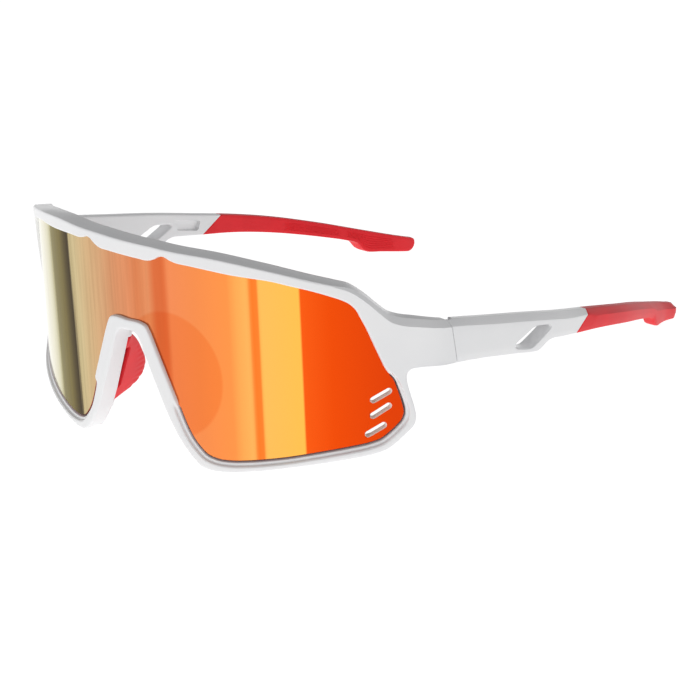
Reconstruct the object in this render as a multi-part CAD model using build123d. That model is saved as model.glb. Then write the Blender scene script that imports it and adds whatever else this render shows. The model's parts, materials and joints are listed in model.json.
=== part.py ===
from build123d import *
import os
from math import sin, cos, atan2, radians, degrees, hypot
from time import time

T0 = time()

os.makedirs("parts", exist_ok=True)

# ---------------------------------------------------------------------------
# Wraparound sport sunglasses with a one-piece cylindrical shield lens.
# Row frame: +X wearer's left, -Y the front of the lens, +Y towards the temple
# tips, +Z up. The pair stands open on its two lower rims and its temple tips;
# the origin is under the middle of the whole pair, on that surface.
# The shapes are drawn from the middle of the lens front (design frame) and
# moved to the row frame at the end by ORIGIN_Y and ORIGIN_Z.
# ---------------------------------------------------------------------------
LENS_R = 78.67          # outer radius of the shield's cylinder
LENS_T = 2.0            # shield thickness
LENS_TILT = 3.2         # pantoscopic tilt, degrees: the lower edge lies further back
LIP = 1.2               # frame lip in front of the shield
RIM_DEPTH = 5.5         # depth of the rim, front face to back face
GROOVE = 0.05           # play of the shield in its groove, in depth
LAP = 1.1               # shield edge hidden under the lip along the brow and the nose
EDGE_PLAY = 0.1         # play round the shield's edge
LOW_STEP = 0.45         # open gap round the exposed lower edge of the shield
LOW_LEDGE = 0.9         # ledge behind the exposed lower edge

HINGE_X, HINGE_Y = 68.4, 48.4        # hinge pin axis, vertical
SEAM_Y0, SEAM_Z0, SEAM_LEAN = 48.2, -14.0, 0.22   # leaning parting face of the endpiece
SEAM_GAP = 0.30
KNUCKLE_R = 2.3
KNUCKLE_CLEAR = 0.30
KN_TOP, KN_MID_TOP, KN_MID_BOT, KN_BOT = -9.1, -11.3, -17.1, -19.3
KN_SIDE = 0.12          # axial play between the knuckles
PIN_R = 0.80            # hinge screw shank
PIN_RUN = 0.05          # running clearance in the temple knuckle
HEAD_R, HEAD_H = 1.45, 0.9

ARM_TANG_W, ARM_TANG_H = 2.2, 2.8    # tang of the temple inside the rubber sleeve
CORE_R = 0.55                        # annealed core wire
PAD_PIN_R = 0.5
PAD_BORE_R = 0.56
PAD_HUB_R = 1.15
PAD_T = 1.8

ORIGIN_Y = 92.98        # design frame to row frame
ORIGIN_Z = 49.955

# Stations round the right half of the rim, from the middle of the brow to the
# middle of the nose arch, as (distance round the cylinder, height) of the edge of
# the visible shield, then the same of the rim's outer edge.
RIM = [
    (0, 8.0, 0, 12.35), (5, 8.0, 5, 12.35), (9.0, 8.1, 9.0, 12.3), (10.6, 8.7, 10.6, 12.25), (12.3, 9.7, 12.3, 12.15),
    (13.8, 9.9, 13.8, 12.05), (15.2, 9.3, 15.2, 12.0), (17, 8.75, 17, 11.9), (21, 8.4, 21, 11.75),
    (26.7, 7.75, 26.7, 11.4), (32.2, 7.0, 32.2, 10.7), (37.6, 6.4, 37.6, 9.75), (42.8, 5.7, 42.9, 8.65),
    (48, 4.4, 48.3, 7.3), (53.1, 3.0, 54.0, 5.75), (58.2, 1.2, 60.0, 4.1), (60.8, 0.1, 63.4, 3.0),
    (62.6, -0.9, 66.0, 1.3), (64.3, -2.6, 68.6, -0.9), (65.6, -5.0, 71.4, -3.6), (67.1, -8.3, 74.4, -7.0),
    (69.5, -14.5, 76.2, -13.5), (71.8, -20.4, 76.9, -19.5),
    (72.8, -22.0, 77.2, -22.1), (74.2, -23.9, 77.7, -24.6), (75.2, -26.8, 78.3, -27.3), (76.1, -29.8, 79.05, -30.2),
    (76.7, -32.4, 79.65, -32.9), (76.8, -34.2, 80.0, -35.4), (76.1, -36.0, 79.3, -37.8), (74.5, -37.6, 77.4, -39.65),
    (72.6, -39.1, 75.0, -41.6), (70.3, -40.6, 71.9, -43.6), (67.3, -41.4, 68.2, -44.6), (62, -42.15, 62.2, -45.35),
    (56.5, -42.9, 56.5, -46.05), (51.2, -43.7, 51.2, -46.75), (45.8, -44.6, 45.8, -47.5), (40.4, -45.4, 40.4, -48.35),
    (34.9, -46.15, 34.9, -49.15), (29.5, -46.65, 29.0, -49.85), (26, -46.5, 24.8, -50.0), (23, -45.5, 21.4, -49.1),
    (20.8, -43.4, 19.0, -46.9), (18.2, -39.5, 15.0, -41.5), (16.5, -35.6, 12.7, -37.1), (15.5, -32.9, 11.55, -34.7),
    (14.6, -30.5, 10.5, -32.1), (13.2, -27.0, 9.1, -28.6), (11.6, -23.0, 7.5, -24.6), (10, -19.0, 6.0, -20.7),
    (8.4, -15.0, 4.9, -17.6), (7.2, -12.3, 4.1, -15.5), (6.2, -10.8, 3.3, -14.3), (4.6, -10.3, 2.3, -13.65),
    (0, -10.3, 0, -13.5)]
LOW_FIRST, LOW_LAST = 23, 46    # the shield's own edge is exposed between these stations

# Vent slots near the lower outer corner of the shield: centre-line ends and width
SLOTS = [((68.3, -29.4), (73.1, -27.1)), ((68.1, -33.9), (72.9, -31.3)), ((66.6, -39.1), (71.4, -36.7))]
SLOT_W = 1.25


def across(i, dist):
    """Point at station i, dist outwards from the edge of the visible shield."""
    a0, t0, a1, t1 = RIM[i]
    m = hypot(a1 - a0, t1 - t0)
    return (a0 + (a1 - a0) / m * dist, t0 + (t1 - t0) / m * dist)


def low(i):
    return LOW_FIRST <= i <= LOW_LAST


def mirrored(half):
    return half + [(-a, t) for a, t in half[::-1] if a > 0.01]


def sheet(radius, half):
    """Face on the cylinder of that radius, inside the mirrored outline."""
    arc = CenterArc((0, LENS_R, -60), radius, -155, 130)
    skin = Face.extrude(arc.edges()[0], (0, 0, 85))
    loop = [Vector(radius * sin(a / LENS_R), -10, t) for a, t in mirrored(half)]
    prism = Solid.extrude(Face(Wire.make_polygon(loop, close=True)), Vector(0, 75, 0))
    return skin.intersect(prism)[0].faces()[0]


def cyl_pt(a, t, r):
    return Vector(r * sin(a / LENS_R), LENS_R - r * cos(a / LENS_R), t)


def tilt(shape):
    return shape.rotate(Axis.X, LENS_TILT)


def tilt_pt(x, y, t):
    c, s = cos(radians(LENS_TILT)), sin(radians(LENS_TILT))
    return Vector(x, y * c - t * s, y * s + t * c)


def on_cyl(arc, t, r=LENS_R):
    return tilt_pt(r * sin(arc / LENS_R), LENS_R - r * cos(arc / LENS_R), t)


def place(shape):
    return shape.moved(Location((0, -ORIGIN_Y, ORIGIN_Z)))


def flip(shape):
    return shape.mirror(Plane.YZ)


def one(shape):
    """The largest single solid of a result."""
    return sorted(shape.solids(), key=lambda s: -s.volume)[0]


def poly_face(points, plane="YZ", smooth=False, off=0.0):
    if plane == "YZ":
        v = [Vector(off, a, b) for a, b in points]
    else:
        v = [Vector(a, b, off) for a, b in points]
    return Face(Wire.make_polygon(v, close=True))


def band(inner, outer, z0, z1):
    """Plan-view band between two splines, from z0 up to z1."""
    a = Edge.make_spline([Vector(x, y, z0) for x, y in inner])
    b = Edge.make_spline([Vector(x, y, z0) for x, y in outer])
    c = Edge.make_line(Vector(*inner[-1], z0), Vector(*outer[-1], z0))
    d = Edge.make_line(Vector(*outer[0], z0), Vector(*inner[0], z0))
    return Solid.extrude(Face(Wire([a, c, b, d])), Vector(0, 0, z1 - z0))


def side_slab(top, bottom, x0=40, x1=80):
    """Side-view outline between two splines (front to back), from x0 to x1."""
    a = Edge.make_spline([Vector(x0, y, z) for y, z in top])
    b = Edge.make_spline([Vector(x0, y, z) for y, z in bottom])
    c = Edge.make_line(Vector(x0, *top[-1]), Vector(x0, *bottom[-1]))
    d = Edge.make_line(Vector(x0, *bottom[0]), Vector(x0, *top[0]))
    return Solid.extrude(Face(Wire([a, c, b, d])), Vector(x1 - x0, 0, 0))


def rod(p, q, r):
    p, q = Vector(*p), Vector(*q)
    d = q - p
    return Solid.make_cylinder(r, d.length, Plane(origin=p, z_dir=d))


def hinge_cyl(r, z0, z1):
    return Solid.make_cylinder(r, z1 - z0, Plane(origin=(HINGE_X, HINGE_Y, z0)))


def behind_plane(y0, z0, lean, gap, front):
    """Half space in front of (or behind) a leaning plane y = y0 + gap - lean*(z - z0)."""
    n = Vector(0, 1, lean).normalized()
    o = Vector(0, y0 + gap, z0)
    pl = Plane(origin=o, x_dir=(1, 0, 0), z_dir=n)
    box = Box(300, 300, 300)
    box = box.moved(Location((0, 0, -150 if front else 150)))
    return pl.location * box


# --------------------------------------------------------------------- lens
skin = sheet(LENS_R, [across(i, 0.0 if low(i) else LAP) for i in range(len(RIM))])
slot_arc = 70.6
sp = slot_arc / LENS_R
for s in (1, -1):
    rad = Vector(s * sin(sp), -cos(sp), 0)
    tan_dir = Vector(cos(sp), s * sin(sp), 0)
    for (a0, t0), (a1, t1) in SLOTS:
        mid = Vector(s * LENS_R * sin(sp), LENS_R - LENS_R * cos(sp), (t0 + t1) / 2)
        mid = mid + tan_dir * (s * ((a0 + a1) / 2 - slot_arc))
        ang = degrees(atan2(t1 - t0, s * (a1 - a0)))
        pl = Plane(origin=mid - rad * 6, x_dir=tan_dir, z_dir=rad)
        sk = pl * Rot(0, 0, ang * pl.y_dir.Z) * SlotCenterToCenter(hypot(a1 - a0, t1 - t0) - SLOT_W, SLOT_W)
        skin = skin.cut(extrude(sk, amount=12).solid()).faces()[0]
lens = Solid.thicken(skin, LENS_T)
shield_lens = tilt(lens)
print("lens", lens.volume, lens.is_valid, time() - T0)

# -------------------------------------------------------------------- frame
front_r = LENS_R + LIP
back_r = front_r - RIM_DEPTH
wires = []
for i in range(len(RIM)):
    a1, t1 = RIM[i][2:]
    lip = LOW_STEP if low(i) else 0.0
    bed = LOW_STEP + 0.1 if low(i) else LAP + EDGE_PLAY
    ledge = -LOW_LEDGE if low(i) else -0.3
    g0, g1 = LENS_R + 0.09, LENS_R - LENS_T - GROOVE
    pts = [cyl_pt(*across(i, lip), front_r), cyl_pt(a1, t1, front_r), cyl_pt(a1, t1, back_r), cyl_pt(*across(i, ledge), back_r),
           cyl_pt(*across(i, ledge), g1), cyl_pt(*across(i, bed), g1), cyl_pt(*across(i, bed), g0), cyl_pt(*across(i, lip), g0)]
    wires.append(Wire.make_polygon(pts, close=True))
half_ring = Solid.make_loft(wires, ruled=True)
print("half ring", half_ring.volume, half_ring.is_valid, time() - T0)
ring = tilt(half_ring)

ep_outer = [(57.45, 23.87), (61.2, 28.0), (63.8, 31.3), (66.2, 34.75), (69.3, 40.5), (71.6, 46.0), (72.8, 52.0)]
ep_inner = [(54.4, 27.8), (57.0, 31.5), (60.0, 35.6), (63.2, 40.2), (66.2, 44.8), (68.0, 48.6), (68.2, 52.0)]
ep_side = [(27.2, 1.2), (28.5, -0.2), (31.5, -3.0), (34.5, -4.9), (38.5, -5.9), (44, -6.95),
           (52, -8.65), (52, -20.4), (45, -20.1), (38, -20.3), (35.6, -20.8), (34.6, -21.2), (32.4, -14.5),
           (30.4, -8.5), (29.0, -5.0), (27.8, -2.0)]
endpiece = band(ep_inner, ep_outer, -25, 10) & Solid.extrude(poly_face(ep_side, off=40), Vector(40, 0, 0))
endpiece = one(endpiece)
webs = Solid.make_box(3.0, 2.3, KN_TOP - KN_MID_TOP - KN_SIDE / 2, Plane(origin=(HINGE_X - 0.3, HINGE_Y - 2.9, KN_MID_TOP + KN_SIDE / 2))) \
    + Solid.make_box(3.0, 2.3, KN_MID_BOT - KN_BOT - KN_SIDE / 2, Plane(origin=(HINGE_X - 0.3, HINGE_Y - 2.9, KN_BOT)))
endpiece = one(endpiece + webs)
endpiece = endpiece & behind_plane(SEAM_Y0, SEAM_Z0, SEAM_LEAN, 0.0, True)
# upper and lower knuckles of the endpiece, with the slot between them
endpiece = endpiece - hinge_cyl(KNUCKLE_R + KNUCKLE_CLEAR, KN_MID_BOT - KN_SIDE / 2, KN_MID_TOP + KN_SIDE / 2)
knuckles = hinge_cyl(KNUCKLE_R, KN_MID_TOP + KN_SIDE / 2, KN_TOP) + hinge_cyl(KNUCKLE_R, KN_BOT, KN_MID_BOT - KN_SIDE / 2)
endpiece = one(endpiece + knuckles)
endpiece = endpiece - hinge_cyl(PIN_R, KN_BOT - 3, KN_TOP + 3)
endpiece = endpiece - hinge_cyl(HEAD_R, KN_TOP - HEAD_H, KN_TOP + 3)
endpiece = one(endpiece)

print("endpiece", endpiece.volume, endpiece.is_valid, time() - T0)
# ---------------------------------------------------------------- nose pads
# pin axis behind the nose wall (right side), in the tilted lens frame
P_TOP, P_BOT = (7.1, 6.35, -18.6), (16.87, 7.67, -41.1)
ax = Vector(*P_BOT) - Vector(*P_TOP)
ax_len = ax.length
axd = ax.normalized()
splay = 3.0
back = Vector(sin(radians(splay)), cos(radians(splay)), 0)
back = (back - axd * back.dot(axd)).normalized()
nrm = axd.cross(back).normalized()


def along(s, d=0.0, n=0.0):
    return Vector(*P_TOP) + axd * s + back * d + nrm * n


pad_plane = Plane(origin=along(0, 0, -PAD_T / 2), x_dir=axd, z_dir=nrm)
# local y of that plane
py = pad_plane.y_dir.dot(back)
wing = [(0.6, 1.4), (2.0, 3.2), (4.7, 5.7), (9.2, 8.9), (13.0, 11.3), (15.6, 12.4), (18.2, 12.5), (20.9, 11.2), (23.0, 8.4), (23.9, 4.7), (24.0, 1.4)]
w_sp = Edge.make_spline([pad_plane.from_local_coords(Vector(a, b * py, 0)) for a, b in wing])
w_ln = Edge.make_line(pad_plane.from_local_coords(Vector(24.0, 1.4 * py, 0)), pad_plane.from_local_coords(Vector(0.6, 1.4 * py, 0)))
wing_solid = Solid.extrude(Face(Wire([w_sp, w_ln])), nrm * PAD_T)
HUBS = [(0.7, 4.6), (19.6, 24.0)]
pad = wing_solid
for a, b in HUBS:
    pad = pad + rod(along(a), along(b), PAD_HUB_R)
    neck = Solid.make_box(b - a, 2.4, PAD_T, Plane(origin=along(a, 0.3 if py > 0 else 2.7, -PAD_T / 2), x_dir=axd, z_dir=nrm))
    pad = pad + neck
pad = pad - rod(along(-2), along(27), PAD_BORE_R)
pad = one(pad)
pad_r = tilt(pad)
pin_r = tilt(rod(along(-1.4), along(25.9), PAD_PIN_R))
lugs = None
for a, b in ((-2.0, 0.4), (24.3, 26.4)):
    lug = rod(along(a), along(b), 1.35)
    inward = Vector(0.25, -1, 0).normalized()
    inward = (inward - axd * inward.dot(axd)).normalized()
    side = axd.cross(inward).normalized()
    web = Solid.make_box(b - a, 2.5, 2.7, Plane(origin=along(a) - side * 1.35, x_dir=axd, z_dir=side))
    wy = Plane(origin=along(a) - side * 1.35, x_dir=axd, z_dir=side).y_dir.dot(inward)
    if wy < 0:
        web = Solid.make_box(b - a, 2.5, 2.7, Plane(origin=along(a) - side * 1.35 + inward * 2.5, x_dir=axd, z_dir=side))
    lug = lug + web
    lugs = lug if lugs is None else lugs + lug
lugs = lugs - rod(along(-1.4), along(25.9), PAD_PIN_R)
lugs = tilt(lugs)

print("lugs", time() - T0)
half = one(ring + endpiece)
print("ring+ep", half.volume, half.is_valid, time() - T0)
for s in lugs.solids():
    half = one(half + s)
print("+lugs", half.volume, half.is_valid, time() - T0)
frame_front = one(half + flip(half))
print("frame", frame_front.volume, frame_front.is_valid, time() - T0)

# ------------------------------------------------------------------ temples
arm_inner = [(68.2, 44), (68.3, 60), (68.5, 74), (68.6, 84), (68.5, 94), (67.9, 104), (66.5, 120),
             (64.4, 134), (59.2, 152), (55.0, 165), (52.6, 172), (50.2, 180), (48.6, 190)]
arm_outer = [(72.55, 44), (72.95, 60), (73.2, 74), (73.25, 84), (73.1, 94), (72.5, 104), (71.0, 120),
             (68.8, 134), (63.7, 152), (59.4, 165), (57.0, 172), (54.5, 180), (52.9, 190)]
arm_top = [(44, -6.85), (50.5, -8.25), (65.9, -11.8), (83.5, -15.8), (104, -20.8), (120.3, -24.7),
           (133.5, -28.2), (152.5, -34.0), (166, -38.6), (177.8, -42.6), (186.3, -45.4)]
arm_low1 = [(44, -19.3), (49.4, -20.1), (59.3, -21.7), (68.4, -23.5), (78, -25.5), (84.5, -26.95)]
arm_low2 = [(91.6, -25.55), (98, -26.4), (107, -28.0), (115, -29.4), (121, -30.6), (134.3, -33.7), (153.9, -39.1), (163.8, -42.4)]
arm_low3 = [(168.2, -46.6), (174, -47.7), (185.0, -49.9)]
y0, y1 = 44, 191
e = [Edge.make_spline([Vector(40, *p) for p in arm_top]),
     Edge.make_three_point_arc(Vector(40, 186.3, -45.4), Vector(40, 187.85, -47.7), Vector(40, 185.0, -49.9)),
     Edge.make_spline([Vector(40, *p) for p in arm_low3]),
     Edge.make_line(Vector(40, *arm_low3[0]), Vector(40, *arm_low2[-1])),
     Edge.make_spline([Vector(40, *p) for p in arm_low2]),
     Edge.make_line(Vector(40, *arm_low2[0]), Vector(40, 87.2, -26.9)),
     Edge.make_line(Vector(40, 87.2, -26.9), Vector(40, *arm_low1[-1])),
     Edge.make_spline([Vector(40, *p) for p in arm_low1]),
     Edge.make_line(Vector(40, *arm_low1[0]), Vector(40, *arm_top[0]))]
side = Solid.extrude(Face(Wire(e)), Vector(40, 0, 0))
arm = one(band(arm_inner, arm_outer, -60, 0) & side)

# slanted through window and the shallow recess on the inner face behind it
window = [(76.8, -22.9), (78.0, -23.8), (83.4, -25.25), (84.4, -25.15), (92.3, -22.2), (92.0, -21.4), (86.6, -20.2), (84.2, -20.35)]
arm = arm - Solid.extrude(poly_face(window, off=60), Vector(20, 0, 0))
recess = [(93.5, -20.0), (104.0, -22.5), (103.0, -25.7), (94.6, -23.8)]
arm = one(arm - Solid.extrude(poly_face(recess, off=60), Vector(9.1, 0, 0)))

# joint between the moulded arm and the rubber sleeve
J_Y, J_Z, J_LEAN = 109.6, -25.1, -1.62
front_of_joint = behind_plane(J_Y, J_Z, J_LEAN, 0.0, True)
back_of_joint = behind_plane(J_Y, J_Z, J_LEAN, 0.0, False)
tang_in = [(x + 1.2, y) for x, y in arm_inner[4:11]]
tang_out = [(x + 1.2 + ARM_TANG_W, y) for x, y in arm_inner[4:11]]
mid_z = [(94, -21.8), (104, -24.3), (120, -27.7), (134, -31.0), (152, -36.4), (165, -41.0)]
tang = band(tang_in, tang_out, -60, 0) & side_slab([(y, z + ARM_TANG_H / 2) for y, z in mid_z], [(y, z - ARM_TANG_H / 2) for y, z in mid_z])
tang = one(tang)
core_path = Edge.make_spline([Vector(x, y, z) for x, y, z in
                              [(70.8, 97, -22.6), (70.2, 104, -24.3), (68.85, 120, -27.7), (66.75, 134, -31.0), (61.6, 151.5, -36.25), (58.9, 160, -39.2)]])
core = Solid.sweep(Face(Wire.make_circle(CORE_R, Plane(origin=core_path @ 0, z_dir=core_path % 0))), Wire([core_path]))
core = one(core)
arm_white = one(one(arm & front_of_joint) + tang) - core
arm_white = one(arm_white)
sleeve = one((arm & back_of_joint) - tang - core)

print("sleeve", sleeve.volume, time() - T0)
# hinge end of the arm
arm_white = arm_white & behind_plane(SEAM_Y0, SEAM_Z0, SEAM_LEAN, SEAM_GAP, False)
arm_white = one(arm_white)
R_C = KNUCKLE_R + KNUCKLE_CLEAR
arm_white = arm_white - hinge_cyl(R_C, KN_MID_TOP - KN_SIDE / 2, 0) - hinge_cyl(R_C, -30, KN_MID_BOT + KN_SIDE / 2)
arm_white = one(arm_white)
mid = hinge_cyl(KNUCKLE_R, KN_MID_BOT + KN_SIDE / 2, KN_MID_TOP - KN_SIDE / 2)
arm_white = one(arm_white + mid)
arm_white = one(arm_white - hinge_cyl(PIN_R + PIN_RUN, -30, 0))

# hinge screw: shank and countersunk head with a cross slot
screw = hinge_cyl(PIN_R, KN_BOT, KN_TOP - HEAD_H) + hinge_cyl(HEAD_R, KN_TOP - HEAD_H, KN_TOP - 0.1)
screw = screw - Solid.make_box(2.2, 0.45, 1.0, Plane(origin=(HINGE_X - 1.1, HINGE_Y - 0.225, KN_TOP - 0.5)))
screw = one(screw)

# grip grooves on the inner face of the sleeve, running lengthwise near the tip
groove_lines = []
for k in range(5):
    for ya, yb in ((140.0, 158.0), (160.5, 178.0)):
        off_z = 1.25 + 0.78 * k
        za = -30.15 - 0.325 * (ya - 140) - off_z + 0.0
        zb = -30.15 - 0.325 * (yb - 140) - off_z
        groove_lines.append(((ya, za), (yb, zb)))
skin_in = Edge.make_spline([Vector(x, y, -60) for x, y in arm_inner])
for (ya, za), (yb, zb) in groove_lines:
    strip_side = Solid.extrude(poly_face([(ya, za + 0.18), (yb, zb + 0.18), (yb, zb - 0.18), (ya, za - 0.18)], off=40), Vector(40, 0, 0))
    skin_band = band([(x - 0.6, y) for x, y in arm_inner], [(x + 0.35, y) for x, y in arm_inner], -60, 0)
    sleeve = sleeve - (skin_band & strip_side)
sleeve = one(sleeve)

print("grooves", time() - T0)
nodes = {
    "frame_front": frame_front,
    "shield_lens": shield_lens,
    "temple_left": arm_white,
    "temple_right": flip(arm_white),
    "temple_sleeve_left": sleeve,
    "temple_sleeve_right": flip(sleeve),
    "temple_core_wire_left": core,
    "temple_core_wire_right": flip(core),
    "hinge_screw_left": screw,
    "hinge_screw_right": flip(screw),
    "nose_pad_left": pad_r,
    "nose_pad_right": flip(pad_r),
    "nose_pad_pin_left": pin_r,
    "nose_pad_pin_right": flip(pin_r),
}
lo, hi = None, None
for name, shape in nodes.items():
    s = place(one(shape))
    export_step(s, f"parts/{name}.step")
    b = s.bounding_box()
    lo = b.min if lo is None else Vector(min(lo.X, b.min.X), min(lo.Y, b.min.Y), min(lo.Z, b.min.Z))
    hi = b.max if hi is None else Vector(max(hi.X, b.max.X), max(hi.Y, b.max.Y), max(hi.Z, b.max.Z))
    print(f"{name:26s} vol {s.volume:9.1f} valid {s.is_valid} box {b.min.X:.1f} {b.min.Y:.1f} {b.min.Z:.1f} .. {b.max.X:.1f} {b.max.Y:.1f} {b.max.Z:.1f}")
print("whole", lo, hi)
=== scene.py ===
import bpy, bmesh, math, json
import numpy as np
from mathutils import Vector, Matrix

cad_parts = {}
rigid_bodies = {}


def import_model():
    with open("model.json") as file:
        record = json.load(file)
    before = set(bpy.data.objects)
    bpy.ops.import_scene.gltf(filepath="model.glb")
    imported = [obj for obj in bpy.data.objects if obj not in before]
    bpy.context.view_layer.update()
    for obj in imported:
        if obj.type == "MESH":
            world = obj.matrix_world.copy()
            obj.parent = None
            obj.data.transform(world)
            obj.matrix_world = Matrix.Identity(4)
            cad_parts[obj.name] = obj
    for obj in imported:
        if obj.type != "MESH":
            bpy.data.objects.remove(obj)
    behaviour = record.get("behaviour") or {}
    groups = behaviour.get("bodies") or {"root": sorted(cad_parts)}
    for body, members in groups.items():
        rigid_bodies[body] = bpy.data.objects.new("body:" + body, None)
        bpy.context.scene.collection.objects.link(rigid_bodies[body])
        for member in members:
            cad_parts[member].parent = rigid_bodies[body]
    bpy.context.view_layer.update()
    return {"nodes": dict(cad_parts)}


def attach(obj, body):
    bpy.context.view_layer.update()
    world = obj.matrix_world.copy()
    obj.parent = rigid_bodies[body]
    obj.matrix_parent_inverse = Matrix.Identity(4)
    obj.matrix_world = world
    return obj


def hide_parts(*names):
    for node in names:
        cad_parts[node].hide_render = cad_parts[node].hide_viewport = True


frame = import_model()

# ------------------------------------------------------------------ shared sizes (mm, design frame)
OY, OZ = 92.98, 49.955
LENS_R, LIP, RIM_D, LENS_T = 78.67, 1.2, 5.5, 2.0
TILT = math.radians(3.2)
CT, ST = math.cos(TILT), math.sin(TILT)
HX, HY = 68.4, 48.4
KR = 2.3


def row(p):
    p = np.asarray(p, float)
    return np.stack([p[..., 0], p[..., 1] - OY, p[..., 2] + OZ], -1) * 0.001


def tilt(p):
    p = np.asarray(p, float)
    return np.stack([p[..., 0], p[..., 1] * CT - p[..., 2] * ST, p[..., 1] * ST + p[..., 2] * CT], -1)


def link(obj):
    bpy.context.scene.collection.objects.link(obj)
    return obj


def mesh_object(name, verts, faces, smooth=True, angle=32):
    me = bpy.data.meshes.new(name)
    me.from_pydata([tuple(v) for v in verts], [], [tuple(f) for f in faces])
    me.validate()
    me.update()
    bm = bmesh.new()
    bm.from_mesh(me)
    bmesh.ops.remove_doubles(bm, verts=bm.verts, dist=1e-7)
    bmesh.ops.recalc_face_normals(bm, faces=bm.faces)
    bm.to_mesh(me)
    bm.free()
    ob = link(bpy.data.objects.new(name, me))
    if smooth:
        shade(ob, angle)
    return ob


def shade(ob, angle=32):
    me = ob.data
    me.polygons.foreach_set("use_smooth", [True] * len(me.polygons))
    me.set_sharp_from_angle(angle=math.radians(angle))
    me.update()


def hermite(ctrl, step, corners=(), closed=False):
    """Dense samples through control rows, smooth except at the corner rows."""
    c = np.asarray(ctrl, float)
    n = len(c)
    out, src = [], []
    seg = np.linalg.norm(np.diff(c[:, :4] if c.shape[1] >= 4 else c, axis=0), axis=1)
    seg = np.maximum(seg, 1e-6)
    for i in range(n - 1):
        d = (c[i + 1] - c[i])
        if i == 0 or i in corners:
            m0 = d / seg[i]
        else:
            m0 = ((c[i] - c[i - 1]) / seg[i - 1] * seg[i] + d / seg[i] * seg[i - 1]) / (seg[i] + seg[i - 1])
        if i == n - 2 or (i + 1) in corners:
            m1 = d / seg[i]
        else:
            m1 = (d / seg[i] * seg[i + 1] + (c[i + 2] - c[i + 1]) / seg[i + 1] * seg[i]) / (seg[i] + seg[i + 1])
        k = max(1, int(math.ceil(seg[i] / step)))
        for j in range(k):
            s = j / k
            h00, h10, h01, h11 = 2*s**3-3*s**2+1, s**3-2*s**2+s, -2*s**3+3*s**2, s**3-s**2
            out.append(h00 * c[i] + h10 * seg[i] * m0 + h01 * c[i + 1] + h11 * seg[i] * m1)
            src.append(i + s)
    out.append(c[-1]); src.append(n - 1.0)
    return np.array(out), np.array(src)


def loops_to_mesh(loops, closed=True, caps=False):
    """Quads between consecutive equal-length closed loops."""
    L = np.array(loops)
    n, m = L.shape[:2]
    verts = L.reshape(-1, 3)
    faces = []
    for i in range(n if closed else n - 1):
        a, b = i * m, ((i + 1) % n) * m
        for j in range(m):
            k = (j + 1) % m
            faces.append((a + j, a + k, b + k, b + j))
    if caps and not closed:
        faces.append(tuple(range(m - 1, -1, -1)))
        faces.append(tuple((n - 1) * m + j for j in range(m)))
    return verts, faces


# ------------------------------------------------------------------ curved wall of the front
PHI0 = math.radians(54.0)
Q0 = LENS_R * PHI0
RF = LENS_R + LIP
A0 = np.array([RF * math.sin(PHI0), LENS_R - RF * math.cos(PHI0)])
B0 = np.array([72.8, 47.45])
TA = np.array([0.52, 0.854]); TB = np.array([0.04, 0.999])
CH = float(np.linalg.norm(B0 - A0)) * 1.02
_s = np.linspace(0, 1.8, 600)


def _h(s):
    s = np.asarray(s, float)[..., None]
    sc = np.minimum(s, 1.0)
    p = (2*sc**3-3*sc**2+1)*A0 + (sc**3-2*sc**2+sc)*CH*TA + (-2*sc**3+3*sc**2)*B0 + (sc**3-sc**2)*CH*TB
    return p + np.maximum(s - 1, 0) * CH * TB


_hp = _h(_s)
_hl = np.concatenate([[0], np.cumsum(np.linalg.norm(np.diff(_hp, axis=0), axis=1))])


def plan(q):
    """Plan point and outward normal at distance q round the outer wall."""
    q = np.asarray(q, float)
    sg = np.sign(q); sg = np.where(sg == 0, 1, sg)
    a = np.abs(q)
    phi = np.minimum(a, Q0) / LENS_R
    pc = np.stack([RF * np.sin(phi), LENS_R - RF * np.cos(phi)], -1)
    nc = np.stack([np.sin(phi), -np.cos(phi)], -1)
    ex = np.maximum(a - Q0, 0) * RF / LENS_R
    px = np.interp(ex, _hl, _hp[:, 0]); py = np.interp(ex, _hl, _hp[:, 1])
    e2 = np.maximum(ex, 0.05)
    hi, lo = e2 + 3.2, np.maximum(e2 - 1.6, 0)
    tx = np.interp(hi, _hl, _hp[:, 0]) - np.interp(lo, _hl, _hp[:, 0])
    ty = np.interp(hi, _hl, _hp[:, 1]) - np.interp(lo, _hl, _hp[:, 1])
    tl = np.hypot(tx, ty)
    nh = np.stack([ty / tl, -tx / tl], -1)
    far = (a > Q0)[..., None]
    p = np.where(far, np.stack([px, py], -1), pc)
    w = np.clip((a - Q0) / 3.0, 0, 1)[..., None]
    n = np.where(far, nc * (1 - w) + nh * w, nc)
    n = n / np.linalg.norm(n, axis=-1, keepdims=True)
    p = np.stack([p[..., 0] * sg, p[..., 1]], -1)
    n = np.stack([n[..., 0] * sg, n[..., 1]], -1)
    return p, n


def wall(q, t, d):
    p, n = plan(q)
    xy = p - n * np.asarray(d)[..., None]
    return row(tilt(np.stack([xy[..., 0], xy[..., 1], np.asarray(t, float) + 0 * xy[..., 0]], -1)))


def q_at(y_local):
    return Q0 + np.interp(y_local, _hp[:, 1], _hl) * LENS_R / RF


def seam_q(t):
    """Parting line of the endpiece at local height t."""
    q = 90.0
    for _ in range(6):
        # local (y, t) of a point on the leaning plane y = 48.2 - .22 (z + 14)
        p, n = plan(np.array(q))
        yl = float(p[1])
        y, z = yl * CT - t * ST, yl * ST + t * CT
        want = 48.2 - 0.22 * (z + 14.0)
        q += want - y
    return q


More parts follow.
